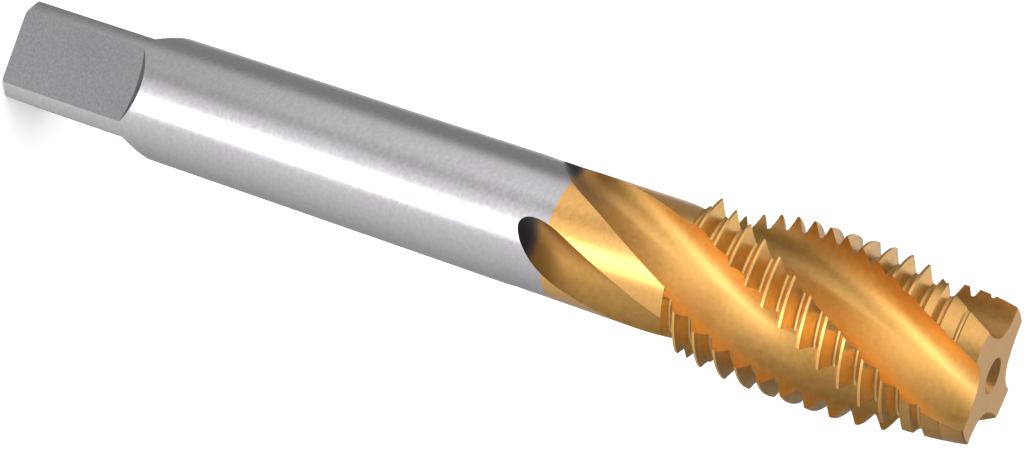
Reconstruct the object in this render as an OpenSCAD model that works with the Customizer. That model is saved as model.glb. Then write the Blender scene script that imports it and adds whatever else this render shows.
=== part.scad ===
// Machine tap with spiral flutes for a metric coarse thread, ground from one bar.
// It stands on the end of its square drive, with the cutting end up.

/* [Body] */
// Length from the drive end to the cutting end
total_l = 103.3; // [98:0.1:130]
// Diameter of the round shank
shank_d = 12.5; // [12:0.1:13]
// How much thinner the neck is than the shank, across its diameter
neck_relief = 0.1; // [0.1:0.05:0.5]

/* [Square drive] */
// Width of the square across its flats
drive_af = 10; // [9:0.1:11]
// Length of a flat along its middle
drive_l = 15; // [10:0.5:20]
// Radius of the milling cutter that leaves the curved end of each flat
cutter_r = 13; // [10:0.5:20]
// Width of the chamfer round the drive end
end_chamfer = 0.2; // [0.1:0.1:0.6]

/* [Thread] */
// Major diameter of the thread
major_d = 16; // [15.5:0.1:16.5]
// Pitch of the thread
pitch = 2; // [1.6:0.1:2.2]
// Depth of the thread from crest to root
thread_depth = 1.25; // [1:0.05:1.3]
// Width of the flat on each crest
crest_w = 0.25; // [0.15:0.05:0.35]
// Angle between the two sides of a tooth
thread_angle = 60; // [50:1:60]
// Angle round the axis at which a crest meets the end face
thread_turn = 118.5; // [0:0.5:360]
// Length from the end face to the first tooth of full height
thread_l = 28.3; // [24:0.1:30]
// Slope of the shoulder between the neck and the thread
shoulder_angle = 70; // [45:1:75]

/* [Lead] */
// Length of the tapered lead at the cutting end
lead_l = 7; // [4:0.5:10]
// Diameter of the end face
face_d = 12.65; // [11:0.05:14]

/* [Flutes] */
// Number of flutes
flutes = 4; // [3:1:4]
// Lead of the flutes, the length in which one goes right round the axis
helix_l = 81.5; // [60:0.5:160]
// Angle round the axis of the middle of a flute at the end face
flute_turn = 28.7; // [0:0.1:90]
// Radius of a flute's hooked side, in front of a cutting edge
hook_r = 3.2; // [3:0.05:3.3]
// Distance from the axis to the middle of the hook
hook_out = 6.75; // [6.6:0.05:7]
// Radius of a flute's open side, behind the next land
heel_r = 3.35; // [3.2:0.05:3.6]
// Distance from the axis to the middle of the open side
heel_out = 7.55; // [7.4:0.05:7.8]
// Angle round the axis between the two middles
heel_turn = 9; // [6:0.5:12]
// Length of flute at full depth
flute_l = 24; // [18:1:28]
// Length of flute that gets shallower, from full depth to its tip in the neck
taper_l = 20.5; // [15:0.1:23]
// Rise of the floor along that length as a straight slope
taper_rise = 1.4; // [1:0.1:1.8]
// Length of the rounded run-out at the tip
runout_l = 4.5; // [3:0.5:8]
// Further rise of the floor along the run-out
runout_rise = 1.3; // [1.2:0.1:1.8]

/* [Centre holes] */
// Diameter of a centre hole at its mouth
centre_d = 3.35; // [3:0.05:3.8]
// Diameter of the pilot at the bottom of a centre hole
pilot_d = 1.6; // [1:0.1:2]
// Depth of a centre hole with its pilot
centre_depth = 3.2; // [2.6:0.1:4]

/* [Hidden] */
steel = [0.74, 0.73, 0.75];
gold = [0.83, 0.62, 0.33];
// How far a cut runs past the surface that it opens
over = 1;
shank_r = shank_d / 2;
neck_r = shank_r - neck_relief / 2;
major_r = major_d / 2;
root_r = major_r - thread_depth;
flat_out = drive_af / 2;
// Depth of the steel that is milled off over the middle of a flat
flat_depth = shank_r - flat_out;
// Heights of the places where the profile changes
thread_start = total_l - thread_l;
shoulder_start = thread_start - (major_r - neck_r) / tan(shoulder_angle);
lead_start = total_l - lead_l;
flute_full = total_l - flute_l;
flute_start = flute_full - taper_l;
// The plain shank ends a little below the flutes
shank_l = flute_start - over;
// The neck starts inside the shank, so that the two are one solid
neck_start = shank_l - over;
working_l = total_l - neck_start;
// How finely the shank is drawn, its centre hole and the one in the cutting end
shank_fn = 96;
centre_fn = 48;
tip_centre_fn = 24;
// How finely the working end is drawn: facets round the bar and to a turn of the thread, the
// steps along a flute and along its run-out, and the steps round the two sides of a flute
rim_fn = 72;
thread_steps = 36;
flute_steps = 23;
runout_steps = 8;
hook_steps = 8;
heel_steps = 5;

// A solid skinned over a row of closed outlines that all have the same number of points
module skin(outlines) {
    rows = len(outlines);
    cols = len(outlines[0]);
    walls = [
        for (i = [0:rows - 2], j = [0:cols - 1])
            let (k = (j + 1) % cols)
            each [
                [i * cols + j, i * cols + k, (i + 1) * cols + j],
                [i * cols + k, (i + 1) * cols + k, (i + 1) * cols + j]
            ]
    ];
    first_end = [for (j = [cols - 1:-1:0]) j];
    last_end = [for (j = [0:cols - 1]) (rows - 1) * cols + j];
    polyhedron([for (outline = outlines) each outline], concat(walls, [first_end, last_end]));
}

// The bar as it is turned, before it is fluted and threaded
module working_blank() {
    // The bar stays a little proud, so that only the shoulder and the lead cut the crests
    proud_r = major_r + crest_w / 6;
    rotate_extrude($fn = rim_fn)
        polygon([
            [0, neck_start],
            [neck_r, neck_start],
            [neck_r, shoulder_start],
            [proud_r, thread_start],
            [proud_r, lead_start],
            [face_d / 2, total_l],
            [0, total_l]
        ]);
}

// The ridge of the thread, its section carried round the axis on a helix
module thread_ridge() {
    // The ridge reaches a little below the root, into the core
    sunk = thread_depth / 8;
    half_crest = crest_w / 2;
    half_foot = half_crest + (thread_depth + sunk) * tan(thread_angle / 2);
    section = [
        [root_r - sunk, -half_foot],
        [major_r, -half_crest],
        [major_r, half_crest],
        [root_r - sunk, half_foot]
    ];
    turns = ceil((total_l - shoulder_start) / pitch) + 1;
    translate([0, 0, total_l - turns * pitch])
        skin([
            for (step = [0:(turns + 1) * thread_steps])
                let (a = step * 360 / thread_steps)
                [for (p = section) [p[0] * cos(a), p[0] * sin(a), p[1] + pitch * a / 360]]
        ]);
}

// The bar with its thread. The facets of its three bodies are turned apart, so that none coincide
module threaded_bar() {
    half_step = 180 / thread_steps;
    intersection() {
        rotate([0, 0, half_step / 2])
            working_blank();
        union() {
            rotate([0, 0, half_step])
                translate([0, 0, neck_start - over])
                    cylinder(r = root_r, h = working_l + 2 * over, $fn = thread_steps);
            thread_ridge();
        }
    }
}

// Rise of a flute's floor at height z, a straight slope and then the round of the grinding wheel
function floor_rise(z) =
    let (
        slope = max(0, (flute_full - z) / taper_l),
        tip = max(0, (flute_start + runout_l - z) / runout_l)
    )
    taper_rise * slope + runout_rise * tip * tip;

// Direction from a circle's centre to its point at distance q from the axis, the centre being c away
function rim_direction(c, r, q) = 180 - acos((c * c + r * r - q * q) / (2 * c * r));

// Points of an arc, with one point at each end
function arc(centre, r, from, to, steps) = [
    for (i = [0:steps])
        let (a = from + (to - from) * i / steps)
        centre + r * [cos(a), sin(a)]
];

// Section of a flute that lies along X, two arcs that cross at its floor
function flute_section(rise) =
    let (
        rim = major_r + over / 2,
        hook = (hook_out + rise) * [cos(heel_turn / 2), -sin(heel_turn / 2)],
        heel = (heel_out + rise) * [cos(heel_turn / 2), sin(heel_turn / 2)],
        gap = norm(heel - hook),
        line = atan2(heel[1] - hook[1], heel[0] - hook[0]),
        hook_cross = acos((gap * gap + hook_r * hook_r - heel_r * heel_r) / (2 * gap * hook_r)),
        heel_cross = acos((gap * gap + heel_r * heel_r - hook_r * hook_r) / (2 * gap * heel_r)),
        hook_open = -heel_turn / 2 - rim_direction(hook_out + rise, hook_r, rim),
        heel_open = heel_turn / 2 + rim_direction(heel_out + rise, heel_r, rim),
        hook_arc = arc(hook, hook_r, hook_open, line + hook_cross - 360, hook_steps),
        heel_arc = arc(heel, heel_r, line + 180 - heel_cross, heel_open, heel_steps)
    )
    concat(hook_arc, [for (i = [1:heel_steps]) heel_arc[i]], [[major_r + 2 * over, 0]]);

// One flute, wound round the axis from its run-out to past the end face
module flute() {
    tip = flute_start - over;
    runout_end = flute_start + runout_l;
    heights = concat(
        [for (i = [0:runout_steps - 1]) tip + (runout_end - tip) * i / runout_steps],
        [for (i = [0:flute_steps]) runout_end + (total_l + over - runout_end) * i / flute_steps]
    );
    skin([
        for (z = heights)
            let (a = flute_turn + (z - total_l) * 360 / helix_l)
            [
                for (p = flute_section(floor_rise(z)))
                    [p[0] * cos(a) - p[1] * sin(a), p[0] * sin(a) + p[1] * cos(a), z]
            ]
    ]);
}

// A centre hole that opens at z = 0 and goes up, a 60 degree cone with a pilot
module centre_hole(fn) {
    cone_l = (centre_d - pilot_d) / 2 / tan(30);
    translate([0, 0, -over])
        cylinder(d = pilot_d, h = centre_depth + over, $fn = fn);
    translate([0, 0, -over])
        cylinder(d1 = centre_d + 2 * over * tan(30), d2 = pilot_d, h = cone_l + over, $fn = fn);
}

// The fluted and threaded end. The size given is its own, along the axis
module working_end() {
    resize([0, 0, working_l])
        difference() {
            rotate([0, 0, thread_turn])
                threaded_bar();
            for (i = [0:flutes - 1])
                rotate([0, 0, i * 360 / flutes])
                    flute();
            translate([0, 0, total_l])
                mirror([0, 0, 1])
                    centre_hole(tip_centre_fn);
        }
}

// What the cutter takes off one side of the square, with its curved end and 45 degree corner
module flat_cut() {
    corner = flat_depth + over;
    centre_z = drive_l - cutter_r;
    translate([flat_out, -shank_d, -over])
        cube([corner, 2 * shank_d, centre_z + over]);
    translate([flat_out, 0, centre_z])
        rotate([0, 90, 0])
            cylinder(r1 = cutter_r, r2 = cutter_r + corner, h = corner, $fn = shank_fn);
}

// The plain shank with its square drive
module shank() {
    difference() {
        union() {
            cylinder(r1 = shank_r - end_chamfer, r2 = shank_r, h = end_chamfer, $fn = shank_fn);
            translate([0, 0, end_chamfer])
                cylinder(r = shank_r, h = shank_l - end_chamfer, $fn = shank_fn);
        }
        for (side = [0:3])
            rotate([0, 0, side * 90])
                flat_cut();
        centre_hole(centre_fn);
    }
}

module spiral_flute_tap() {
    color(steel)
        shank();
    color(gold)
        working_end();
}

spiral_flute_tap();
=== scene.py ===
"""Looks of a spiral flute machine tap: ground steel shank, milled square, gold coated cutting end.

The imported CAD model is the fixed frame. One refined piece stands for its single node: the bar is
spun, and the thread groove, the flutes, the square and the centre holes are cut out of it. Sizes
are in millimetres in the classes and become metres when a mesh is made.
"""

import logging
import math
from dataclasses import dataclass, field
from enum import IntEnum

import bmesh
import bpy
from mathutils import Matrix, Vector


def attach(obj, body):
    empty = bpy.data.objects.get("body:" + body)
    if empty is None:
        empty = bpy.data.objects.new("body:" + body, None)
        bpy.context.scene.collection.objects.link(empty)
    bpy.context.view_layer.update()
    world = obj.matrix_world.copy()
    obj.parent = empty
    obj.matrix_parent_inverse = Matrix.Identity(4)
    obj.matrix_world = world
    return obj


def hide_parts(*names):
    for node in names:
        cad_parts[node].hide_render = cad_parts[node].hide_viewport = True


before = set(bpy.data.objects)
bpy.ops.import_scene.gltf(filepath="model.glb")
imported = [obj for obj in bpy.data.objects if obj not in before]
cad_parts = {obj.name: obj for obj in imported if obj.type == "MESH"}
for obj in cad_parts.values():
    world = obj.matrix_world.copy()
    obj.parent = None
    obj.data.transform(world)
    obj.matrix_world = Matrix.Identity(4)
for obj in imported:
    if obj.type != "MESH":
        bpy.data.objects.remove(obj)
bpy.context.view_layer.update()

log = logging.getLogger("tap_scene")

MM = 0.001
UP = Vector((0.0, 0.0, 1.0))
FULL_TURN = 2 * math.pi
# Vertices closer than this, in millimetres, are one: where two arcs meet, and in a whole mesh
ARC_WELD = 1e-4
MESH_WELD = 1e-5
# The scale at which a noise has about one grain to the unit of its coordinates
NOISE_SCALE = 0.5

Socket = bpy.types.NodeSocket
Tree = bpy.types.NodeTree


class Surface(IntEnum):
    """How a face of the tap was made. The number is the face's material slot."""

    GROUND = 0
    MILLED = 1
    FLUTE = 2
    THREAD = 3
    CENTRE = 4


@dataclass(frozen=True)
class TapSizes:
    """Real sizes of the tap, the same as in the part's source, in millimetres and degrees."""

    total_l: float = 103.3
    shank_d: float = 12.5
    neck_d: float = 12.4
    neck_start: float = 57.8
    drive_af: float = 10.0
    drive_l: float = 15.0
    cutter_r: float = 13.0
    end_chamfer: float = 0.2
    major_d: float = 16.0
    pitch: float = 2.0
    thread_depth: float = 1.25
    crest_w: float = 0.25
    thread_angle: float = 60.0
    thread_turn: float = 118.5
    thread_l: float = 28.3
    shoulder_angle: float = 70.0
    lead_l: float = 7.0
    face_d: float = 12.65
    flutes: int = 4
    helix_l: float = 81.5
    flute_turn: float = 28.7
    hook_r: float = 3.2
    hook_out: float = 6.75
    heel_r: float = 3.35
    heel_out: float = 7.55
    heel_turn: float = 9.0
    flute_l: float = 24.0
    taper_l: float = 20.5
    taper_rise: float = 1.4
    runout_l: float = 4.5
    runout_rise: float = 1.3
    centre_d: float = 3.35
    pilot_d: float = 1.6
    centre_depth: float = 3.2
    # Height at which the gold coat begins, which the source doesn't have
    coat_line: float = 61.77

    @property
    def major_r(self) -> float:
        """Radius of the thread's crests."""
        return self.major_d / 2

    @property
    def root_r(self) -> float:
        """Radius of the thread's root."""
        return self.major_r - self.thread_depth

    @property
    def thread_start(self) -> float:
        """Height of the first tooth of full height."""
        return self.total_l - self.thread_l

    @property
    def shoulder_start(self) -> float:
        """Height at which the neck ends."""
        rise = self.major_r - self.neck_d / 2
        return self.thread_start - rise / math.tan(math.radians(self.shoulder_angle))

    @property
    def flute_full(self) -> float:
        """Height from which the flutes have their full depth."""
        return self.total_l - self.flute_l

    @property
    def flute_start(self) -> float:
        """Height of the tip of a flute."""
        return self.flute_full - self.taper_l

    def floor_rise(self, z: float) -> float:
        """Says how much shallower a flute is at a height.

        Args:
            z: Height above the drive end.

        Returns:
            The rise of the flute's floor.
        """
        slope = max(0.0, (self.flute_full - z) / self.taper_l)
        tip = max(0.0, (self.flute_start + self.runout_l - z) / self.runout_l)
        return self.taper_rise * slope + self.runout_rise * tip * tip


def polar(radius: float, degrees: float) -> Vector:
    """Gives the point at a radius and an angle round the axis."""
    a = math.radians(degrees)
    return Vector((radius * math.cos(a), radius * math.sin(a), 0.0))


def turned(outline: list[tuple[float, float]], steps: int) -> bmesh.types.BMesh:
    """Turns an outline round the axis, as on a lathe.

    Args:
        outline: Radius and height of each point, from one end to the other.
        steps: Number of facets round the axis.

    Returns:
        The turned mesh.
    """
    bm = bmesh.new()
    verts = [bmesh.ops.create_vert(bm, co=(r, 0, z))["vert"][0] for r, z in outline]
    for low, high in zip(verts, verts[1:]):
        bmesh.ops.contextual_create(bm, geom=[low, high])
    bmesh.ops.spin(
        bm, geom=bm.verts[:] + bm.edges[:], cent=(0, 0, 0), axis=UP, dvec=(0, 0, 0),
        angle=FULL_TURN, space=Matrix(), steps=steps, use_merge=True,
        use_normal_flip=False, use_duplicate=False,
    )
    return bm


def rotate(bm: bmesh.types.BMesh, verts: list, degrees: float, axis: str = "Z") -> None:
    """Rotates vertices of a mesh about one of the three axes."""
    matrix = Matrix.Rotation(math.radians(degrees), 3, axis)
    bmesh.ops.rotate(bm, verts=verts, cent=(0, 0, 0), matrix=matrix)


def to_object(bm: bmesh.types.BMesh, name: str, surface: Surface) -> bpy.types.Object:
    """Turns a mesh in millimetres into an object in metres, with its faces outwards.

    Args:
        bm: The finished mesh, which is freed.
        name: Name of the object.
        surface: How all of its faces were made.

    Returns:
        The new object, linked to the scene.
    """
    for face in bm.faces:
        face.material_index = int(surface)
    bmesh.ops.remove_doubles(bm, verts=bm.verts, dist=MESH_WELD)
    bmesh.ops.recalc_face_normals(bm, faces=bm.faces)
    bmesh.ops.scale(bm, vec=(MM, MM, MM), verts=bm.verts)
    mesh = bpy.data.meshes.new(name)
    bm.to_mesh(mesh)
    bm.free()
    return linked(name, mesh)


def linked(name: str, data: bpy.types.ID) -> bpy.types.Object:
    """Makes an object of a mesh, a lamp or a camera and links it to the scene.

    Args:
        name: Name of the object.
        data: What the object shows.

    Returns:
        The new object.
    """
    obj = bpy.data.objects.new(name, data)
    bpy.context.scene.collection.objects.link(obj)
    return obj


@dataclass
class TurnedBar:
    """The bar as it comes off the lathe and the cylindrical grinder."""

    sizes: TapSizes
    # Length over which the shank goes down to the neck
    neck_step: float = 0.8
    # Small round between the neck and the shoulder of the thread
    corner_l: float = 0.1
    corner_rise: float = 0.06
    # Broken edge of the end face, and the share of it that stands out past the lead's cone
    face_edge: float = 0.12
    face_flare: float = 0.2
    rim_steps: int = 256

    def outline(self) -> list[tuple[float, float]]:
        """Gives the outline of the bar.

        Returns:
            Radius and height of each point, from the drive end to the cutting end.
        """
        s = self.sizes
        shank_r = s.shank_d / 2
        neck_r = s.neck_d / 2
        edge = self.face_edge
        return [
            (0.0, 0.0),
            (shank_r - s.end_chamfer, 0.0),
            (shank_r, s.end_chamfer),
            (shank_r, s.neck_start - self.neck_step),
            (neck_r, s.neck_start),
            (neck_r, s.shoulder_start - self.corner_l),
            (neck_r + self.corner_rise, s.shoulder_start),
            (s.major_r, s.thread_start),
            (s.major_r, s.total_l - s.lead_l),
            (s.face_d / 2 + edge * self.face_flare, s.total_l - edge),
            (s.face_d / 2 - edge, s.total_l),
            (0.0, s.total_l),
        ]

    def build(self) -> bpy.types.Object:
        """Turns the bar from its outline."""
        return to_object(turned(self.outline(), self.rim_steps), "turned_bar", Surface.GROUND)


@dataclass
class ThreadGroove:
    """The groove of the thread, one section carried round the axis on a helix."""

    sizes: TapSizes
    turn_steps: int = 144
    # How far the cutter stands out past the crests
    over: float = 0.12
    # Share of the root's half width that is rounded off, and how steeply the round climbs
    round_share: float = 0.55
    round_climb: float = 0.6

    def section(self) -> list[tuple[float, float]]:
        """Gives the groove's section.

        Returns:
            Radius of each point and its height from the groove's middle.
        """
        s = self.sizes
        slope = math.tan(math.radians(s.thread_angle / 2))
        outer = s.major_r + self.over
        foot = (s.pitch - s.crest_w) / 2 - s.thread_depth * slope
        mouth = foot + (outer - s.root_r) * slope
        soft = foot * self.round_share
        climb = soft * self.round_climb
        return [
            (outer, -mouth),
            (s.root_r + climb, -foot - climb * slope),
            (s.root_r, -foot + soft),
            (s.root_r, foot - soft),
            (s.root_r + climb, foot + climb * slope),
            (outer, mouth),
        ]

    def build(self) -> bpy.types.Object:
        """Winds the section up the cutting end.

        Returns:
            The groove as a cutter.
        """
        s = self.sizes
        turns = math.ceil((s.total_l - s.shoulder_start) / s.pitch) + 1
        # The groove runs half a pitch beside the crest
        start = s.total_l - (turns - 0.5) * s.pitch
        bm = bmesh.new()
        verts = [
            bmesh.ops.create_vert(bm, co=(r, 0, start + h))["vert"][0] for r, h in self.section()
        ]
        bmesh.ops.contextual_create(bm, geom=verts)
        rotate(bm, bm.verts, s.thread_turn)
        bmesh.ops.spin(
            bm, geom=bm.verts[:] + bm.edges[:] + bm.faces[:], cent=(0, 0, 0), axis=UP,
            dvec=(0, 0, s.pitch / self.turn_steps), angle=FULL_TURN * (turns + 1),
            space=Matrix(), steps=self.turn_steps * (turns + 1), use_merge=False,
            use_normal_flip=False, use_duplicate=False,
        )
        return to_object(bm, "thread_groove", Surface.THREAD)


@dataclass(frozen=True)
class Arc:
    """One side of a flute's section, between two angles in degrees."""

    centre: Vector
    radius: float
    first: float
    last: float
    steps: int

    def draw(self, bm: bmesh.types.BMesh) -> list[bmesh.types.BMVert]:
        """Draws the arc by spinning one vertex about a vertical line.

        Args:
            bm: The mesh to draw in.

        Returns:
            The vertices of the arc.
        """
        before = set(bm.verts)
        start = self.centre + polar(self.radius, self.first)
        seed = bmesh.ops.create_vert(bm, co=start)["vert"][0]
        bmesh.ops.spin(
            bm, geom=[seed], cent=self.centre, axis=UP, dvec=(0, 0, 0),
            angle=math.radians(self.last - self.first), space=Matrix(), steps=self.steps,
            use_merge=False, use_normal_flip=False, use_duplicate=False,
        )
        return [v for v in bm.verts if v not in before]


@dataclass
class SpiralFlute:
    """One flute: a hooked side before a cutting edge and an open side behind the next land."""

    sizes: TapSizes
    number: int
    hook_steps: int = 26
    heel_steps: int = 18
    # Height between two sections
    station: float = 0.65
    # The crease where the two arcs cross is smoothed away within this distance of it
    blend: float = 1.7
    blend_passes: int = 14
    blend_pull: float = 0.5
    # How far past the crests the arcs end, and the corner that closes them
    arc_over: float = 0.5
    corner_over: float = 2.0
    # How far the cutter runs on below the flute's tip and above the end face
    tip_over: float = 0.6
    face_over: float = 1.0

    @staticmethod
    def angle_between(near: float, radius: float, far: float) -> float:
        """Gives the angle between the sides near and radius of a triangle, opposite far."""
        cosine = (near * near + radius * radius - far * far) / (2 * near * radius)
        return math.degrees(math.acos(cosine))

    def arcs(self, rise: float) -> tuple[Arc, Arc]:
        """Works out the two sides of the section, which cross at the flute's floor.

        Args:
            rise: How much shallower the flute is than at its full depth.

        Returns:
            The hooked side from its mouth to the floor, and the open side from there on.
        """
        s = self.sizes
        half_turn = s.heel_turn / 2
        rim = s.major_r + self.arc_over
        hook_out, heel_out = s.hook_out + rise, s.heel_out + rise
        hook, heel = polar(hook_out, -half_turn), polar(heel_out, half_turn)
        gap = (heel - hook).length
        line = math.degrees(math.atan2(heel.y - hook.y, heel.x - hook.x))
        hook_cross = self.angle_between(gap, s.hook_r, s.heel_r)
        heel_cross = self.angle_between(gap, s.heel_r, s.hook_r)
        hook_open = -half_turn - (180 - self.angle_between(hook_out, s.hook_r, rim))
        heel_open = half_turn + (180 - self.angle_between(heel_out, s.heel_r, rim))
        return (
            Arc(hook, s.hook_r, hook_open, line + hook_cross - 360, self.hook_steps),
            Arc(heel, s.heel_r, line + 180 - heel_cross, heel_open, self.heel_steps),
        )

    def section(self, bm: bmesh.types.BMesh, z: float) -> list[bmesh.types.BMEdge]:
        """Draws the flute's closed section at a height.

        Args:
            bm: The mesh to draw in.
            z: Height above the drive end.

        Returns:
            The edges of the section.
        """
        s = self.sizes
        hook, heel = self.arcs(s.floor_rise(z))
        verts = hook.draw(bm) + heel.draw(bm)
        corner = bmesh.ops.create_vert(bm, co=(s.major_r + self.corner_over, 0, 0))["vert"]
        merged = bmesh.ops.find_doubles(bm, verts=verts, dist=ARC_WELD)["targetmap"]
        bmesh.ops.weld_verts(bm, targetmap=merged)
        verts = [v for v in verts if v.is_valid] + corner
        crease = hook.centre + polar(hook.radius, hook.last)
        floor = [v for v in verts if (v.co - crease).length < self.blend]
        for _ in range(self.blend_passes):
            bmesh.ops.smooth_vert(
                bm, verts=floor, factor=self.blend_pull,
                use_axis_x=True, use_axis_y=True, use_axis_z=False,
            )
        for end in [v for v in verts if len(v.link_edges) == 1]:
            bmesh.ops.contextual_create(bm, geom=[end, corner[0]])
        wound = (z - s.total_l) * 360 / s.helix_l
        rotate(bm, verts, s.flute_turn + self.number * 360 / s.flutes + wound)
        bmesh.ops.translate(bm, verts=verts, vec=(0, 0, z))
        return list({e for v in verts for e in v.link_edges})

    def build(self) -> bpy.types.Object:
        """Bridges the sections from the run-out past the end face.

        Returns:
            The flute as a cutter.
        """
        low = self.sizes.flute_start - self.tip_over
        high = self.sizes.total_l + self.face_over
        steps = math.ceil((high - low) / self.station)
        bm = bmesh.new()
        rings = [self.section(bm, low + (high - low) * i / steps) for i in range(steps + 1)]
        for below, above in zip(rings, rings[1:]):
            bmesh.ops.bridge_loops(bm, edges=below + above)
        bmesh.ops.edgeloop_fill(bm, edges=rings[0])
        bmesh.ops.edgeloop_fill(bm, edges=rings[-1])
        return to_object(bm, f"flute_{self.number}", Surface.FLUTE)


@dataclass
class SquareFlat:
    """What the milling cutter takes off one side of the square drive."""

    sizes: TapSizes
    number: int
    # How far the cutter reaches past the surface that it opens
    over: float = 1.0
    rim_steps: int = 360

    def straight_pass(self, reach: float, centre_z: float) -> bmesh.types.BMesh:
        """Shapes the straight part of the cut.

        Args:
            reach: Depth of the cut, square to the flat.
            centre_z: Height at which the curved end takes over.

        Returns:
            The block, on the side of +X.
        """
        bm = bmesh.new()
        size = (reach, 2 * self.sizes.shank_d, centre_z + self.over)
        middle = (self.sizes.drive_af / 2 + reach / 2, 0, (centre_z - self.over) / 2)
        bmesh.ops.create_cube(bm, size=1.0)
        bmesh.ops.scale(bm, vec=size, verts=bm.verts)
        bmesh.ops.translate(bm, vec=middle, verts=bm.verts)
        return bm

    def curved_end(self, reach: float, centre_z: float) -> bmesh.types.BMesh:
        """Shapes the end of the cut, as wide as the cutter, with its 45 degree corner.

        Args:
            reach: Depth of the cut, square to the flat.
            centre_z: Height of the cutter's middle.

        Returns:
            The cone, on the side of +X.
        """
        bm = bmesh.new()
        cutter_r = self.sizes.cutter_r
        bmesh.ops.create_cone(
            bm, cap_ends=True, cap_tris=False, segments=self.rim_steps, radius1=cutter_r,
            radius2=cutter_r + reach, depth=reach,
        )
        rotate(bm, bm.verts, 90, "Y")
        middle = (self.sizes.drive_af / 2 + reach / 2, 0, centre_z)
        bmesh.ops.translate(bm, vec=middle, verts=bm.verts)
        return bm

    def build(self) -> list[bpy.types.Object]:
        """Shapes both parts of the cut and turns them to their side of the square.

        Returns:
            The straight pass and the curved end as cutters.
        """
        s = self.sizes
        reach = s.shank_d / 2 - s.drive_af / 2 + self.over
        centre_z = s.drive_l - s.cutter_r
        cutters = []
        for name, bm in (
            ("pass", self.straight_pass(reach, centre_z)),
            ("end", self.curved_end(reach, centre_z)),
        ):
            rotate(bm, bm.verts, self.number * 90)
            cutters.append(to_object(bm, f"square_{name}_{self.number}", Surface.MILLED))
        return cutters


@dataclass
class CentreHole:
    """A 60 degree centre hole with its pilot, in one end of the tap."""

    sizes: TapSizes
    at_tip: bool
    half_angle: float = 30.0
    # How far the cutter stands out of the end face
    over: float = 0.5
    # Depth of the drill's point as a share of the pilot's radius
    point: float = 0.6
    rim_steps: int = 64

    def build(self) -> bpy.types.Object:
        """Turns the hole from its outline and puts it into its end.

        Returns:
            The hole as a cutter.
        """
        s = self.sizes
        wide, pilot = s.centre_d / 2, s.pilot_d / 2
        slope = math.tan(math.radians(self.half_angle))
        outline = [
            (0.0, -self.over),
            (wide + self.over * slope, -self.over),
            (pilot, (wide - pilot) / slope),
            (pilot, s.centre_depth),
            (0.0, s.centre_depth + pilot * self.point),
        ]
        bm = turned(outline, self.rim_steps)
        if self.at_tip:
            rotate(bm, bm.verts, 180, "X")
            bmesh.ops.translate(bm, verts=bm.verts, vec=(0, 0, s.total_l))
        name = "centre_hole_tip" if self.at_tip else "centre_hole_drive"
        return to_object(bm, name, Surface.CENTRE)


def linear(hex_colour: str) -> tuple[float, float, float, float]:
    """Turns an sRGB hex colour into the linear colour that a shader takes.

    Args:
        hex_colour: The colour as "#RRGGBB".

    Returns:
        Red, green and blue, with an alpha of 1.
    """
    channels = [int(hex_colour[i : i + 2], 16) / 255 for i in (1, 3, 5)]
    values = [c / 12.92 if c <= 0.04045 else ((c + 0.055) / 1.055) ** 2.4 for c in channels]
    return values[0], values[1], values[2], 1.0


def feed(node: bpy.types.Node, inputs: dict) -> None:
    """Sets or links the sockets of a node.

    Args:
        node: The node.
        inputs: For each socket, by name or number, a value or an output socket to link.
    """
    for name, value in inputs.items():
        if isinstance(value, Socket):
            node.id_data.links.new(value, node.inputs[name])
        else:
            node.inputs[name].default_value = value


def add_node(
    tree: Tree, kind: str, settings: dict | None = None, inputs: dict | None = None
) -> bpy.types.Node:
    """Adds a node with its settings and what goes into its sockets.

    Args:
        tree: The tree to add it to.
        kind: The node's type name.
        settings: Attributes to set on the node. "stops" are positions and linear colours of a
            colour ramp, in order.
        inputs: For each socket, by name or number, a value or an output socket to link.

    Returns:
        The new node.
    """
    node = tree.nodes.new(kind)
    settings = dict(settings or {})
    stops = settings.pop("stops", [])
    for position, _ in stops[1:-1]:
        node.color_ramp.elements.new(position)
    for number, (position, colour) in enumerate(stops):
        node.color_ramp.elements[number].position = position
        node.color_ramp.elements[number].color = colour
    for name, value in settings.items():
        setattr(node, name, value)
    feed(node, inputs or {})
    return node


@dataclass(frozen=True)
class Tint:
    """A finish's colour, with the darker shade that it has where its pattern is low."""

    colour: str
    shade: str
    low: float = 0.3
    high: float = 0.7

    def on(self, tree: Tree, pattern: Socket) -> Socket:
        """Colours a pattern."""
        stops = [(self.low, linear(self.shade)), (self.high, linear(self.colour))]
        return add_node(
            tree, "ShaderNodeValToRGB", {"stops": stops}, {"Fac": pattern}
        ).outputs["Color"]


@dataclass(frozen=True)
class Grain:
    """One layer of a pattern: the size of a grain in millimetres along X, Y and Z."""

    size: tuple[float, float, float]
    detail: float = 2.0

    def on(self, tree: Tree, place: Socket) -> Socket:
        """Adds the layer's noise.

        Args:
            tree: The tree to add it to.
            place: The coordinates.

        Returns:
            The noise's value, round about 0.5.
        """
        scale = tuple(1 / (g * MM) for g in self.size)
        mapped = add_node(tree, "ShaderNodeMapping", inputs={"Vector": place, "Scale": scale})
        noise = add_node(
            tree, "ShaderNodeTexNoise",
            inputs={
                "Vector": mapped.outputs["Vector"], "Scale": NOISE_SCALE, "Detail": self.detail,
            },
        )
        return noise.outputs["Fac"]


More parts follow.
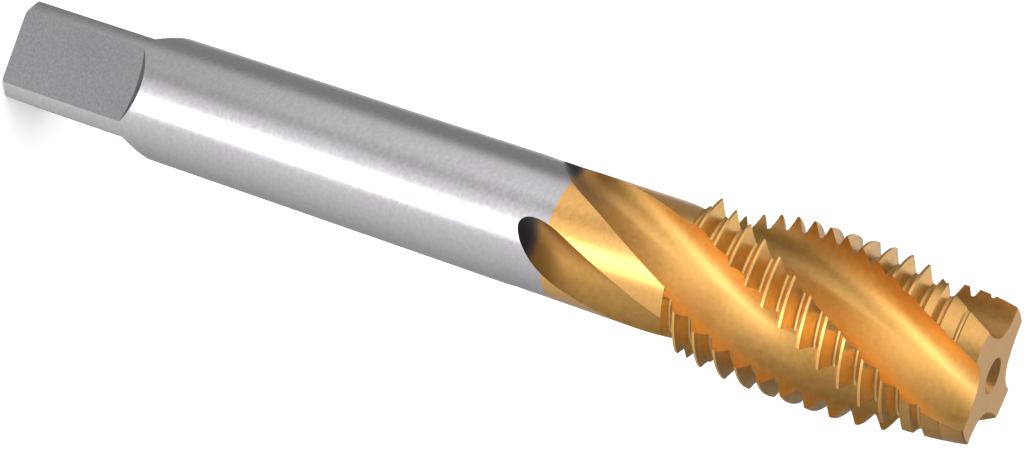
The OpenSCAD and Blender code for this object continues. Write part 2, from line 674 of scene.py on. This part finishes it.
@dataclass(frozen=True)
class Gloss:
    """A surface's roughness, and how far it drifts while its pattern goes from low to high."""

    roughness: float
    smoother: float
    rougher: float
    low: float = 0.3
    high: float = 0.7

    def on(self, tree: Tree, pattern: Socket) -> Socket:
        """Lets the roughness drift with a pattern.

        Args:
            tree: The tree to add it to.
            pattern: The pattern's value.

        Returns:
            The roughness.
        """
        least, most = self.roughness - self.smoother, self.roughness + self.rougher
        drift = add_node(
            tree, "ShaderNodeMapRange", inputs={
                "Value": pattern, "From Min": self.low, "From Max": self.high,
                "To Min": least, "To Max": most,
            },
        )
        return drift.outputs["Result"]


@dataclass(frozen=True)
class Relief:
    """How the grain stands out of a surface: its strength and its depth in millimetres."""

    strength: float
    depth: float

    def on(self, tree: Tree, height: Socket) -> Socket:
        """Turns a pattern into the surface's normal."""
        inputs = {"Height": height, "Strength": self.strength, "Distance": self.depth * MM}
        return add_node(tree, "ShaderNodeBump", inputs=inputs).outputs["Normal"]


def layered(tree: Tree, lowest: Socket, *layers: tuple[Socket, float]) -> Socket:
    """Lays patterns over one another.

    Args:
        tree: The tree to add to.
        lowest: Value of the lowest pattern.
        layers: Value of each further pattern, with its share from 0 to 1.

    Returns:
        The value of them all.
    """
    value = lowest
    for layer, share in layers:
        value = add_node(tree, "ShaderNodeMix", inputs={0: share, 2: value, 3: layer}).outputs[0]
    return value


def height_step(tree: Tree, place: Socket, z: float, width: float) -> Socket:
    """Adds a mask that goes from 0 below a height to 1 above it.

    Args:
        tree: The tree to add it to.
        place: The coordinates.
        z: The height in millimetres.
        width: Width of the change in millimetres.

    Returns:
        The mask's value.
    """
    height = add_node(tree, "ShaderNodeSeparateXYZ", inputs={"Vector": place}).outputs["Z"]
    low, high = z * MM - width * MM / 2, z * MM + width * MM / 2
    step = add_node(
        tree, "ShaderNodeMapRange", {"interpolation_type": "SMOOTHSTEP"},
        {"Value": height, "From Min": low, "From Max": high},
    )
    return step.outputs["Result"]


def laid_over(tree: Tree, mask: Socket, below: Socket | tuple, above: Socket | tuple) -> Socket:
    """Lays one colour over another.

    Args:
        tree: The tree to add to.
        mask: Where the upper colour is, from 0 to 1.
        below: The lower colour.
        above: The upper colour.

    Returns:
        The colour that is seen.
    """
    return add_node(
        tree, "ShaderNodeMix", {"data_type": "RGBA"}, {0: mask, 6: below, 7: above}
    ).outputs[2]


def untwisted(tree: Tree, place: Socket, lead: float) -> Socket:
    """Turns coordinates back by a helix, so that what is straight along Z follows the flutes.

    Args:
        tree: The tree to add it to.
        place: The coordinates.
        lead: Height in metres of one turn of the helix.

    Returns:
        The coordinates that go with the flutes.
    """
    height = add_node(tree, "ShaderNodeSeparateXYZ", inputs={"Vector": place}).outputs["Z"]
    angle = add_node(
        tree, "ShaderNodeMath", {"operation": "MULTIPLY"}, {0: height, 1: -FULL_TURN / lead}
    )
    untwist = add_node(
        tree, "ShaderNodeVectorRotate", {"rotation_type": "Z_AXIS"},
        {"Vector": place, "Angle": angle.outputs["Value"]},
    )
    return untwist.outputs["Vector"]


def helix_way(tree: Tree, place: Socket, lead: float) -> Socket:
    """Adds the direction of the helix through a place: up, and round the axis by the lead.

    Args:
        tree: The tree to add it to.
        place: The coordinates.
        lead: Height in metres of one turn of the helix.

    Returns:
        The direction, of length 1.
    """
    round_axis = add_node(
        tree, "ShaderNodeVectorMath", {"operation": "CROSS_PRODUCT"},
        {0: (0.0, 0.0, FULL_TURN / lead), 1: place},
    )
    way = add_node(
        tree, "ShaderNodeVectorMath", {"operation": "ADD"},
        {0: round_axis.outputs["Vector"], 1: (0.0, 0.0, 1.0)},
    )
    return add_node(
        tree, "ShaderNodeVectorMath", {"operation": "NORMALIZE"}, {0: way.outputs["Vector"]}
    ).outputs["Vector"]


class Metal:
    """A metal material while it is put together, with its tree, shader and coordinates."""

    def __init__(self, name: str, roughness: float, metallic: float = 1.0) -> None:
        """Starts a plain metal.

        Args:
            name: Name of the material.
            roughness: Roughness of the surface.
            metallic: Share of the light that it mirrors, the rest being scattered.
        """
        self.mat = bpy.data.materials.new(name)
        self.mat.use_nodes = True
        self.tree = self.mat.node_tree
        self.shader = self.tree.nodes["Principled BSDF"]
        self.place = add_node(self.tree, "ShaderNodeTexCoord").outputs["Object"]
        feed(self.shader, {"Metallic": metallic, "Roughness": roughness})

    def oil(self, weight: float, roughness: float = 0.3) -> None:
        """Wets it with the thin film of oil that a tap is packed in, which pales its lights."""
        feed(self.shader, {"Coat Weight": weight, "Coat Roughness": roughness})


# Titanium nitride, laid on in a vacuum: a gold mirror tint over whatever grain the steel has.
# The flute and thread tints are the same coat, set a shade yellower in the flutes and a shade
# paler between the teeth: painted light for how the light falls in them
NECK_COAT = Tint("#EFB972", "#E3AB5F")
FLUTE_COAT_PAINTED_LIGHT = Tint("#F0BB69", "#DAA24D")
THREAD_COAT_PAINTED_LIGHT = Tint("#E8BA70", "#D2A057")


@dataclass(frozen=True)
class GroundFinish:
    """High speed steel, cylindrically ground: fine rings round the axis and a soft bright band.

    Above the coat line the same ground surface carries the gold coat.
    """

    steel: Tint = Tint("#C9C6CA", "#B9B5BA")
    coat: Tint = NECK_COAT
    # Width of the coat's edge in millimetres
    coat_edge: float = 0.06
    gloss: Gloss = Gloss(0.21, 0.05, 0.07)
    # Grinding rings are some hundredths of a millimetre wide, drawn 0.15 mm wide to show
    rings: Grain = Grain((1.6, 1.6, 0.15), 3.0)
    grit: Grain = Grain((0.22, 0.22, 0.2), 3.0)
    cloud: Grain = Grain((5.0, 5.0, 9.0))
    relief: Relief = Relief(0.5, 0.007)
    # Shares of the grit and the cloud in the colour, of the cloud in the roughness and of the
    # grit in the relief
    tone_grit: float = 0.75
    tone_cloud: float = 0.25
    rough_cloud: float = 0.5
    relief_grit: float = 0.9

    def material(self, sizes: TapSizes) -> bpy.types.Material:
        """Builds the material of the shank, the neck, the crests and the end face.

        Args:
            sizes: The tap's sizes, for its coat line.

        Returns:
            The finished material.
        """
        metal = Metal("ground_steel_and_nitride", self.gloss.roughness)
        tree, place = metal.tree, metal.place
        rings, grit = self.rings.on(tree, place), self.grit.on(tree, place)
        cloud = self.cloud.on(tree, place)
        tone = layered(tree, rings, (grit, self.tone_grit), (cloud, self.tone_cloud))
        coated = height_step(tree, place, sizes.coat_line, self.coat_edge)
        colour = laid_over(tree, coated, self.steel.on(tree, tone), self.coat.on(tree, tone))
        uneven = layered(tree, grit, (cloud, self.rough_cloud))
        height = layered(tree, rings, (grit, self.relief_grit))
        feed(metal.shader, {
            "Base Color": colour,
            "Roughness": self.gloss.on(tree, uneven),
            "Normal": self.relief.on(tree, height),
        })
        return metal.mat


@dataclass(frozen=True)
class MilledFinish:
    """High speed steel, milled and hardened: a dull mid grey with a granular face."""

    steel: Tint = Tint("#8F8F92", "#7D7D80", 0.32, 0.68)
    roughness: float = 0.55
    # The milled and hardened skin is finer than a pixel, drawn with grains of 0.14 mm to show
    grain: Grain = Grain((0.14, 0.14, 0.14), 3.0)
    cloud: Grain = Grain((3.0, 3.0, 4.0))
    tone_cloud: float = 0.2
    relief: Relief = Relief(0.5, 0.02)

    def material(self) -> bpy.types.Material:
        """Builds the material of the square's flats.

        Returns:
            The finished material.
        """
        metal = Metal("milled_steel", self.roughness)
        tree, place = metal.tree, metal.place
        grain, cloud = self.grain.on(tree, place), self.cloud.on(tree, place)
        colour = self.steel.on(tree, layered(tree, grain, (cloud, self.tone_cloud)))
        feed(metal.shader, {"Base Color": colour, "Normal": self.relief.on(tree, grain)})
        return metal.mat


@dataclass(frozen=True)
class FluteFinish:
    """Flute wall, ground along its helix and then coated: satin gold with fine lines down it.

    Below the coat line the run-out is coloured darker, from brown gold down to blue black.
    """

    # The coat's tint here is set a shade yellower: painted light
    coat: Tint = FLUTE_COAT_PAINTED_LIGHT
    # Colours of the darker run-out, darkest first, and where each lies across the edge of the
    # darkest colour
    run_out_tones: tuple[tuple[float, str], ...] = ((0.3, "#433B3F"), (0.5, "#6E5A50"), (0.72, "#B9853E"))
    # Height above the coat line, width and raggedness of the darkest colour's edge and of the edge
    # where the darkening ends
    darkest_edge: tuple[float, float, float] = (-1.3, 2.4, 0.25)
    darkening_end: tuple[float, float, float] = (2.6, 8.0, 0.1)
    # The part of that last edge over which it goes from all darkened to plain gold
    gold_span: tuple[float, float] = (0.05, 0.95)
    gloss: Gloss = Gloss(0.42, 0.06, 0.06, 0.35, 0.65)
    metallic: float = 0.94
    # The wheel's lines spread a highlight across the flute and keep it short along it
    brushed: float = 0.4
    brushed_turn: float = 0.25
    oil: float = 0.5
    # Wheel lines are finer than a pixel, drawn 0.12 mm wide and 6 mm long
    lines: Grain = Grain((0.12, 0.12, 6.0))
    grit: Grain = Grain((0.26, 0.26, 0.26), 3.0)
    cloud: Grain = Grain((2.6, 2.6, 7.0))
    relief: Relief = Relief(0.8, 0.006)
    # Share of the cloud in the colour and of the grit in the relief
    tone_cloud: float = 0.45
    relief_grit: float = 0.6

    def darkened_run_out(
        self, tree: Tree, place: Socket, cloud: Socket, gold: Socket, coat_line: float
    ) -> Socket:
        """Colours the run-out darker towards the flute's tip.

        Args:
            tree: The tree to add to.
            place: The coordinates.
            cloud: The pattern that makes the edges uneven.
            gold: The coat's colour.
            coat_line: Height of the coat line.

        Returns:
            The flute's colour.
        """
        edges = []
        for rise, width, ragged in (self.darkest_edge, self.darkening_end):
            edge = height_step(tree, place, coat_line + rise, width)
            edges.append(layered(tree, edge, (cloud, ragged)))
        stops = [(position, linear(colour)) for position, colour in self.run_out_tones]
        run_out_tones = add_node(tree, "ShaderNodeValToRGB", {"stops": stops}, {"Fac": edges[0]})
        gold_share = add_node(
            tree, "ShaderNodeMapRange", {"interpolation_type": "SMOOTHSTEP"}, {
                "Value": edges[1], "From Min": self.gold_span[0], "From Max": self.gold_span[1],
            },
        )
        return laid_over(tree, gold_share.outputs["Result"], run_out_tones.outputs["Color"], gold)

    def material(self, sizes: TapSizes) -> bpy.types.Material:
        """Builds the material of the flutes' walls.

        Args:
            sizes: The tap's sizes, for its coat line and the lead of its flutes.

        Returns:
            The finished material.
        """
        metal = Metal("nitride_on_ground_flute", self.gloss.roughness, self.metallic)
        tree, place, lead = metal.tree, metal.place, sizes.helix_l * MM
        along = untwisted(tree, place, lead)
        lines, grit = self.lines.on(tree, along), self.grit.on(tree, place)
        cloud = self.cloud.on(tree, along)
        tone = layered(tree, grit, (cloud, self.tone_cloud))
        gold = self.coat.on(tree, tone)
        height = layered(tree, lines, (grit, self.relief_grit))
        feed(metal.shader, {
            "Base Color": self.darkened_run_out(tree, place, cloud, gold, sizes.coat_line),
            "Roughness": self.gloss.on(tree, tone),
            "Anisotropic": self.brushed,
            "Anisotropic Rotation": self.brushed_turn,
            "Tangent": helix_way(tree, place, lead),
            "Normal": self.relief.on(tree, height),
        })
        metal.oil(self.oil)
        return metal.mat


@dataclass(frozen=True)
class ThreadFinish:
    """Thread flank, ground by a profiled wheel and then coated: smooth amber gold."""

    # The coat's tint here is set a shade paler: painted light
    coat: Tint = THREAD_COAT_PAINTED_LIGHT
    roughness: float = 0.34
    metallic: float = 0.97
    oil: float = 0.5
    # The wheel's lines along a tooth are finer than a pixel, drawn 0.1 mm wide to show
    lines: Grain = Grain((2.0, 2.0, 0.1))
    grit: Grain = Grain((0.25, 0.25, 0.25), 3.0)
    tone_grit: float = 0.5
    relief: Relief = Relief(0.3, 0.004)

    def material(self) -> bpy.types.Material:
        """Builds the material of the teeth's flanks and roots.

        Returns:
            The finished material.
        """
        metal = Metal("nitride_on_thread", self.roughness, self.metallic)
        tree, place = metal.tree, metal.place
        lines, grit = self.lines.on(tree, place), self.grit.on(tree, place)
        tone = layered(tree, lines, (grit, self.tone_grit))
        colour, normal = self.coat.on(tree, tone), self.relief.on(tree, tone)
        feed(metal.shader, {"Base Color": colour, "Normal": normal})
        metal.oil(self.oil)
        return metal.mat


@dataclass(frozen=True)
class CentreFinish:
    """Centre hole, drilled and then ground for the machine's centres: painted shade makes it
    darker than the ends.
    """

    # Both colours are a shade darker than the ends': painted shade in the hole
    steel: str = "#A9A6AA"
    coat: str = "#EDB26C"
    # Width of the change from steel to gold, which lies inside the tap between the two holes
    coat_edge: float = 1.0
    roughness: float = 0.38
    # The drill's rings are finer than a pixel, drawn 0.12 mm wide to show
    rings: Grain = Grain((1.0, 1.0, 0.12))
    relief: Relief = Relief(0.5, 0.01)

    def material(self, sizes: TapSizes) -> bpy.types.Material:
        """Builds the material of both centre holes.

        Args:
            sizes: The tap's sizes, for its coat line.

        Returns:
            The finished material.
        """
        metal = Metal("drilled_centre", self.roughness)
        tree, place = metal.tree, metal.place
        coated = height_step(tree, place, sizes.coat_line, self.coat_edge)
        colour = laid_over(tree, coated, linear(self.steel), linear(self.coat))
        normal = self.relief.on(tree, self.rings.on(tree, place))
        feed(metal.shader, {"Base Color": colour, "Normal": normal})
        return metal.mat


@dataclass
class SpiralFluteTap:
    """The whole tap as one solid, cut out of the turned bar."""

    sizes: TapSizes = field(default_factory=TapSizes)
    # Edges that turn by more than this many degrees stay sharp
    edge_angle: float = 28.0
    drive_sides: int = 4

    def cutters(self) -> list[bpy.types.Object]:
        """Builds everything that is cut out of the bar.

        Returns:
            The cutters in the order of the cuts.
        """
        s = self.sizes
        found = [ThreadGroove(s).build()]
        found += [SpiralFlute(s, number).build() for number in range(s.flutes)]
        for number in range(self.drive_sides):
            found += SquareFlat(s, number).build()
        found += [CentreHole(s, at_tip).build() for at_tip in (False, True)]
        return found

    def materials(self) -> list[bpy.types.Material]:
        """Builds the finishes.

        Returns:
            The materials in the order of the surfaces.
        """
        s = self.sizes
        return [
            GroundFinish().material(s),
            MilledFinish().material(),
            FluteFinish().material(s),
            ThreadFinish().material(),
            CentreFinish().material(s),
        ]

    def build(self) -> bpy.types.Object:
        """Cuts the bar and smooths all but its real edges.

        Returns:
            The finished piece.
        """
        bar = TurnedBar(self.sizes).build()
        materials = self.materials()
        cutters = self.cutters()
        for obj in [bar, *cutters]:
            for mat in materials:
                obj.data.materials.append(mat)
        for cutter in cutters:
            cut = bar.modifiers.new(cutter.name, "BOOLEAN")
            cut.operation = "DIFFERENCE"
            cut.solver = "MANIFOLD"
            cut.object = cutter
        graph = bpy.context.evaluated_depsgraph_get()
        mesh = bpy.data.meshes.new_from_object(bar.evaluated_get(graph))
        for obj in [bar, *cutters]:
            bpy.data.objects.remove(obj)
        mesh.shade_smooth()
        mesh.set_sharp_from_angle(angle=math.radians(self.edge_angle))
        return linked("ground_tap", mesh)


def fade(tree: Tree, angle: Socket, edge: float, width: float) -> Socket:
    """Adds a soft edge at an angle.

    Args:
        tree: The tree to add it to.
        angle: The angle in radians.
        edge: Middle of the edge in degrees.
        width: Width of the edge in degrees, negative where it falls with the angle.

    Returns:
        A value from 0 to 1.
    """
    low, high = math.radians(edge - abs(width) / 2), math.radians(edge + abs(width) / 2)
    rising = width > 0
    step = add_node(
        tree, "ShaderNodeMapRange", {"interpolation_type": "SMOOTHSTEP"},
        {
            "Value": angle, "From Min": low, "From Max": high,
            "To Min": 0.0 if rising else 1.0, "To Max": 1.0 if rising else 0.0,
        },
    )
    return step.outputs["Result"]


@dataclass(frozen=True)
class SoftBox:
    """One soft panel of the room, as the metal mirrors it. All but the level is in degrees.

    Azimuth is counted from +X towards +Y. The edges are where the light has fallen to half, and
    the fades are how wide each edge is. A flag is a panel of negative level, which takes light
    away.
    """

    name: str
    azimuth: tuple[float, float]
    azimuth_fade: tuple[float, float]
    elevation: tuple[float, float]
    elevation_fade: tuple[float, float]
    level: float

    def light(self, tree: Tree, azimuth: Socket, elevation: Socket) -> Socket:
        """Adds the panel's light in a direction.

        Args:
            tree: The world's tree.
            azimuth: Azimuth of the direction in radians.
            elevation: Elevation of the direction in radians.

        Returns:
            The light's value.
        """
        middle = math.radians(sum(self.azimuth) / 2)
        half = (self.azimuth[1] - self.azimuth[0]) / 2
        away = add_node(
            tree, "ShaderNodeMath", {"operation": "SUBTRACT"}, {0: azimuth, 1: middle}
        )
        away = add_node(
            tree, "ShaderNodeMath", {"operation": "WRAP"},
            {0: away.outputs["Value"], 1: math.pi, 2: -math.pi},
        )
        light = fade(tree, away.outputs["Value"], -half, self.azimuth_fade[0])
        for edge in (
            fade(tree, away.outputs["Value"], half, -self.azimuth_fade[1]),
            fade(tree, elevation, self.elevation[0], self.elevation_fade[0]),
            fade(tree, elevation, self.elevation[1], -self.elevation_fade[1]),
            self.level,
        ):
            light = add_node(
                tree, "ShaderNodeMath", {"operation": "MULTIPLY"}, {0: light, 1: edge}
            ).outputs["Value"]
        return light


# The photographed tap lies on its side among the panels. This one stands, so they stand round it
ROOM = (
    SoftBox("ring", (-200, 200), (10, 10), (-45, -12), (20, 20), 0.18),
    SoftBox("key", (-77.5, -66), (26, 8), (-48, -1), (40, 8), 3.4),
    SoftBox("key wing", (-66, -49), (8, 10), (-35, -22), (22, 12), 3.2),
    SoftBox("upper key", (-108, -72), (12, 12), (-16, 0), (3, 8), 1.3),
    SoftBox("under key", (-110, -35), (40, 40), (-120, -48), (10, 40), 0.86),
    SoftBox("left fill", (-178, -122), (30, 28), (-30, 18), (34, 34), 0.84),
    SoftBox("left strip", (-150, -106), (30, 26), (-15, 4), (12, 10), 1.2),
    SoftBox("right fill", (-110, 4), (40, 175), (-60, 2), (30, 65), 0.9),
    SoftBox("back strip", (100, 120), (30, 18), (-35, 120), (20, 10), 0.38),
    SoftBox("top", (75, 190), (40, 40), (20, 120), (50, 10), 0.9),
    SoftBox("left flag", (-185, -112), (20, 30), (-120, -50), (10, 24), -0.08),
)


@dataclass
class Studio:
    """A pale floor, soft light and the camera, in metres."""

    camera_place: tuple[float, float, float] = (0.006831, -0.25152, 0.172765)
    camera_right: tuple[float, float, float] = (-0.329528, 0.392612, 0.858643)
    camera_up: tuple[float, float, float] = (-0.943903, -0.157607, -0.290184)
    camera_back: tuple[float, float, float] = (0.021398, -0.906099, 0.422523)
    # Focal length and width of the film in millimetres
    lens: float = 105.23
    film: float = 36.0
    nearest: float = 0.01
    floor_r: float = 6.0
    floor_steps: int = 96
    floor_colour: str = "#F4F4F4"
    floor_roughness: float = 0.9
    # What the camera sees the floor give off besides, so that it is as white as the room
    floor_lift: float = 0.3
    lamp_d: float = 1.2
    lamp_power: float = 14.0
    lamp_place: tuple[float, float, float] = (-0.35, -0.3, 1.2)
    lamp_aim: tuple[float, float, float] = (0.0, 0.0, 0.05)
    # Strength of the room between the panels, to the matt floor, and to the camera
    dim: float = 0.17
    plain: float = 0.6
    white: float = 1.0

    def camera(self) -> None:
        """Sets the camera at the photograph's angle."""
        data = bpy.data.cameras.new("camera")
        data.lens = self.lens
        data.sensor_width = self.film
        data.sensor_fit = "HORIZONTAL"
        data.clip_start = self.nearest
        obj = linked("camera", data)
        axes = Matrix((self.camera_right, self.camera_up, self.camera_back)).transposed()
        obj.matrix_world = Matrix.Translation(self.camera_place) @ axes.to_4x4()
        bpy.context.scene.camera = obj

    def floor(self) -> None:
        """Lays the floor that the tap stands on, matt and unseen in the metal."""
        bm = bmesh.new()
        bmesh.ops.create_circle(bm, cap_ends=True, segments=self.floor_steps, radius=self.floor_r)
        mesh = bpy.data.meshes.new("floor")
        bm.to_mesh(mesh)
        bm.free()
        obj = linked("floor", mesh)
        obj.visible_glossy = False
        mat = bpy.data.materials.new("pale_floor")
        mat.use_nodes = True
        tree = mat.node_tree
        seen = add_node(tree, "ShaderNodeLightPath").outputs["Is Camera Ray"]
        lift = add_node(
            tree, "ShaderNodeMath", {"operation": "MULTIPLY"}, {0: seen, 1: self.floor_lift}
        )
        feed(tree.nodes["Principled BSDF"], {
            "Base Color": linear(self.floor_colour),
            "Roughness": self.floor_roughness,
            "Specular IOR Level": 0.0,
            "Emission Color": (1, 1, 1, 1),
            "Emission Strength": lift.outputs["Value"],
        })
        mesh.materials.append(mat)

    def lamp(self) -> None:
        """Hangs the soft overhead lamp that gives the floor its shadow."""
        data = bpy.data.lights.new("overhead", "AREA")
        data.shape = "DISK"
        data.size = self.lamp_d
        data.energy = self.lamp_power
        obj = linked("overhead", data)
        obj.location = self.lamp_place
        direction = Vector(self.lamp_aim) - obj.location
        obj.rotation_euler = direction.to_track_quat("-Z", "Y").to_euler()
        obj.visible_glossy = False

    def panels(self, tree: Tree) -> Socket:
        """Adds up the light of all panels in the direction of a ray.

        Args:
            tree: The world's tree.

        Returns:
            The light's value.
        """
        way = add_node(tree, "ShaderNodeTexCoord").outputs["Generated"]
        parts = add_node(tree, "ShaderNodeSeparateXYZ", inputs={"Vector": way})
        azimuth = add_node(
            tree, "ShaderNodeMath", {"operation": "ARCTAN2"},
            {0: parts.outputs["Y"], 1: parts.outputs["X"]},
        )
        elevation = add_node(
            tree, "ShaderNodeMath", {"operation": "ARCSINE"}, {0: parts.outputs["Z"]}
        )
        light = self.dim
        for box in ROOM:
            part = box.light(tree, azimuth.outputs["Value"], elevation.outputs["Value"])
            light = add_node(
                tree, "ShaderNodeMath", {"operation": "ADD"}, {0: light, 1: part}
            ).outputs["Value"]
        return light

    def world(self) -> None:
        """Sets the room: white to the camera, a set of soft panels to the metal."""
        world = bpy.data.worlds.new("studio")
        world.use_nodes = True
        tree = world.node_tree
        tree.nodes.clear()
        panels, plain, white = (
            add_node(
                tree, "ShaderNodeBackground", inputs={"Color": (1, 1, 1, 1), "Strength": strength}
            ).outputs[0]
            for strength in (self.panels(tree), self.plain, self.white)
        )
        path = add_node(tree, "ShaderNodeLightPath")
        metal = add_node(
            tree, "ShaderNodeMixShader",
            inputs={0: path.outputs["Is Glossy Ray"], 1: plain, 2: panels},
        )
        seen = add_node(
            tree, "ShaderNodeMixShader",
            inputs={0: path.outputs["Is Camera Ray"], 1: metal.outputs[0], 2: white},
        )
        add_node(tree, "ShaderNodeOutputWorld", inputs={"Surface": seen.outputs[0]})
        bpy.context.scene.world = world

    def build(self) -> None:
        """Sets up the whole studio."""
        self.camera()
        self.floor()
        self.lamp()
        self.world()
        bpy.context.scene.view_settings.view_transform = "Standard"


def main() -> None:
    """Builds the studio and the tap, and fits the tap to the frame."""
    logging.basicConfig(level=logging.INFO, format="%(name)s: %(message)s")
    Studio().build()
    log.info("studio: floor, lamp, world and camera")
    tap = SpiralFluteTap().build()
    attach(tap, "root")
    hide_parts("spiral_flute_tap")
    log.info("%s: %d faces", tap.name, len(tap.data.polygons))


if __name__ == "__main__":
    main()
